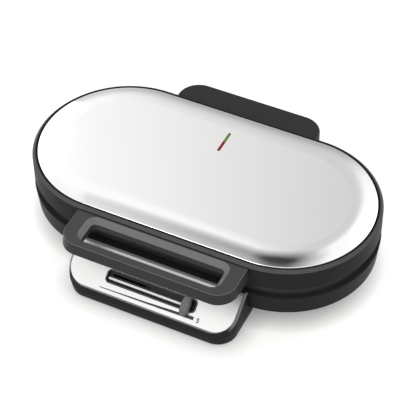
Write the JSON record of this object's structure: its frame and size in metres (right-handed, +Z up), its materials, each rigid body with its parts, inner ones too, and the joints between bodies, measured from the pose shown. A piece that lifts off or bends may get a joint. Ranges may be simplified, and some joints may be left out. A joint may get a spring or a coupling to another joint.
{
  "type": "double waffle maker",
  "caption": "Flat countertop waffle maker for two round waffles, with a hinged steel-topped lid, a loop handle, a sloped front with a browning slider and heart-shaped moulds.",
  "frame": {"origin": "on the floor at the middle of the whole appliance, lid closed", "axes": "+X along the long side, to the right of a person who faces the handle; +Y towards the hinge; +Z up"},
  "size_m": [0.408, 0.2928, 0.0972],
  "materials": {
    "steel_panel": "satin, fine brushed",
    "black_body": "black moulding, satin",
    "handle_black": "black moulding, glossy",
    "knob_grey": "grey moulding, satin",
    "cast_plate": "black non-stick coating, satin",
    "control_steel": "satin, bright",
    "slot_black": "black moulding, satin",
    "rail_white": "white moulding",
    "lens_red": "clear red moulding",
    "lens_green": "clear green moulding",
    "lamp_glass": "clear",
    "carriage_black": "black moulding, satin",
    "inner_plastic": "natural heat-proof moulding",
    "phenolic": "dark brown moulding, satin",
    "ceramic": "white ceramic",
    "zinc_screw": "zinc plated",
    "steel_sheet": "pressed sheet",
    "shield_sheet": "plain pressed sheet",
    "cover_black": "black moulding, fine texture",
    "rubber": "matt"
  },
  "bodies": {
    "base": {"lower_plate": "cast_plate", "lower_heaters": "steel_sheet", "lower_heat_shield": "shield_sheet", "lower_plate_screws": "zinc_screw", "base_shell": "black_body", "bottom_cover": "cover_black", "bottom_screws": "zinc_screw", "rear_bracket": "black_body", "cord_gland": "rubber", "control_housing": "black_body", "housing_screws": "zinc_screw", "control_plate": "control_steel", "slot_frame": "slot_black", "guide_rail": "rail_white", "thermostat": "phenolic", "thermostat_stand": "inner_plastic", "feet": "rubber", "terminal_block": "inner_plastic", "thermal_fuse": "ceramic"},
    "lid": {"lid_panel": "steel_panel", "lid_shell": "black_body", "handle": "handle_black", "handle_screws": "zinc_screw", "indicator_lens_red": "lens_red", "indicator_lens_green": "lens_green", "lamp_holder": "inner_plastic", "indicator_lamps": "lamp_glass", "upper_plate": "cast_plate", "upper_plate_screws": "zinc_screw", "upper_heaters": "steel_sheet", "upper_heat_shield": "shield_sheet", "hinge_cover": "black_body", "cover_screws": "zinc_screw", "hinge_arm_left": "steel_sheet", "hinge_arm_right": "steel_sheet", "hinge_arm_screws": "zinc_screw", "hinge_pins": "steel_sheet"},
    "slider": {"slider_knob": "knob_grey", "slider_carriage": "carriage_black"},
    "plunger": {"thermostat_plunger": "phenolic"}
  },
  "joints": [
    {"name": "lid_hinge", "type": "hinge", "parent": "base", "child": "lid", "pos_m": [0, 0.12756, 0.057], "axis": [-1, 0, 0], "range_deg": [0, 100]},
    {"name": "browning_slide", "type": "slide", "parent": "base", "child": "slider", "axis": [1, 0, 0], "range_m": [-0.0874, 0]},
    {"name": "plunger_slide", "type": "slide", "parent": "base", "child": "plunger", "axis": [0, -0.6036, 0.7973], "range_m": [-0.0038, 0]}
  ],
  "couplings": [
    {"joint": "plunger_slide", "follows": "browning_slide", "ratio": 0.042553}
  ]
}
